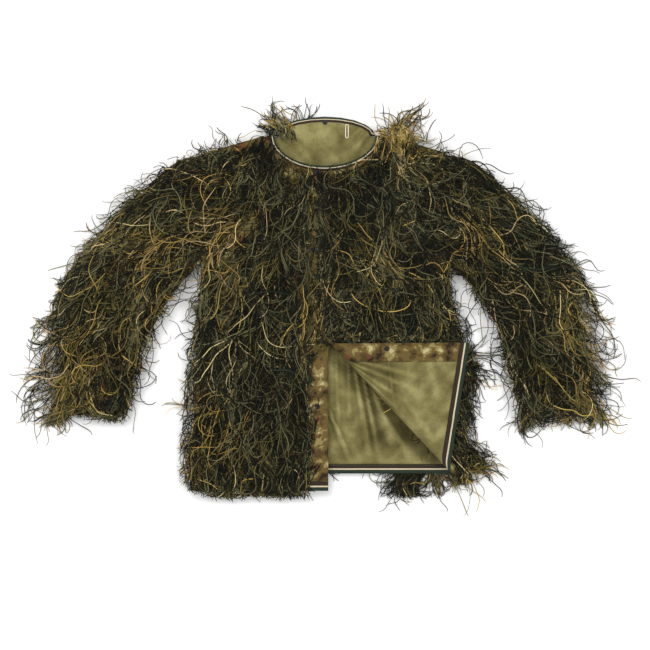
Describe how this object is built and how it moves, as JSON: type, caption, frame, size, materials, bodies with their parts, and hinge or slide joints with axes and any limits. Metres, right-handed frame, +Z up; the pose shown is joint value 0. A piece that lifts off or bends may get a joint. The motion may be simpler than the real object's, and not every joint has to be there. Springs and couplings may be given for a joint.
{
  "type": "ghillie jacket",
  "caption": "Camouflage jacket covered in sewn yarn, snap front and khaki lining, lying on its back with one lower front corner turned over.",
  "frame": {"origin": "middle of the underside of the box round the jacket as it lies", "axes": "+Z up from the surface the jacket lies on, +Y towards the collar, +X towards the wearer's left side"},
  "size_m": [1.2824, 0.85, 0.0596],
  "materials": {
    "yarn": "loose twisted acrylic yarn, dyed dark green, olive, tan and brown",
    "camouflage": "woven polyester printed with a small-blotch camouflage",
    "lining": "thin khaki taffeta with a slight sheen",
    "binding": "woven tape striped dark green, cream and dark brown",
    "seam_tape": "folded cotton tape",
    "snap": "black enamelled brass snap",
    "cord": "cream braided cord"
  },
  "bodies": {
    "jacket": {"back_hem_binding": "binding", "back_lining": "lining", "back_neck_binding": "binding", "back_shell": "camouflage", "back_yarn_layer": "yarn", "hanger_loop": "cord", "hood_post_back": "snap", "hood_stud_back": "snap", "left_front_facing": "camouflage", "left_front_lining": "lining", "left_front_pressed_yarn": "yarn", "left_front_shell": "camouflage", "left_front_yarn_layer": "yarn", "left_neck_binding": "binding", "left_shoulder_seam": "seam_tape", "left_side_seam": "seam_tape", "right_front_lining": "lining", "right_front_placket": "camouflage", "right_front_shell": "camouflage", "right_front_yarn_layer": "yarn", "right_hem_binding": "binding", "right_neck_binding": "binding", "right_shoulder_seam": "seam_tape", "right_side_seam": "seam_tape", "snap_cap_2": "snap", "snap_cap_3": "snap", "snap_cap_4": "snap", "snap_post_1": "snap", "snap_post_2": "snap", "snap_post_3": "snap", "snap_post_4": "snap", "snap_socket_2": "snap", "snap_socket_3": "snap", "snap_socket_4": "snap", "snap_stud_1": "snap", "snap_stud_2": "snap", "snap_stud_3": "snap", "snap_stud_4": "snap"},
    "turned_corner": {"corner_facing": "camouflage", "corner_hem_binding": "binding", "corner_lining": "lining", "corner_shell": "camouflage", "corner_yarn_layer": "yarn", "snap_cap_1": "snap", "snap_socket_1": "snap"},
    "left_sleeve": {"left_cuff_binding": "binding", "left_sleeve_lining": "lining", "left_sleeve_lower_yarn": "yarn", "left_sleeve_shell": "camouflage", "left_sleeve_upper_yarn": "yarn"},
    "right_sleeve": {"right_cuff_binding": "binding", "right_sleeve_lining": "lining", "right_sleeve_lower_yarn": "yarn", "right_sleeve_shell": "camouflage", "right_sleeve_upper_yarn": "yarn"}
  },
  "joints": [
    {"name": "corner_fold", "type": "hinge", "parent": "jacket", "child": "turned_corner", "pos_m": [-0.005, -0.078, 0.0452], "axis": [0.682, -0.7314, 0], "range_deg": [0, 176]},
    {"name": "left_sleeve_swing", "type": "hinge", "parent": "jacket", "child": "left_sleeve", "pos_m": [0.262, 0.212, 0.0103], "axis": [0, 0, 1], "range_deg": [0, 45]},
    {"name": "right_sleeve_swing", "type": "hinge", "parent": "jacket", "child": "right_sleeve", "pos_m": [-0.262, 0.212, 0.0103], "axis": [0, 0, -1], "range_deg": [0, 45]}
  ]
}
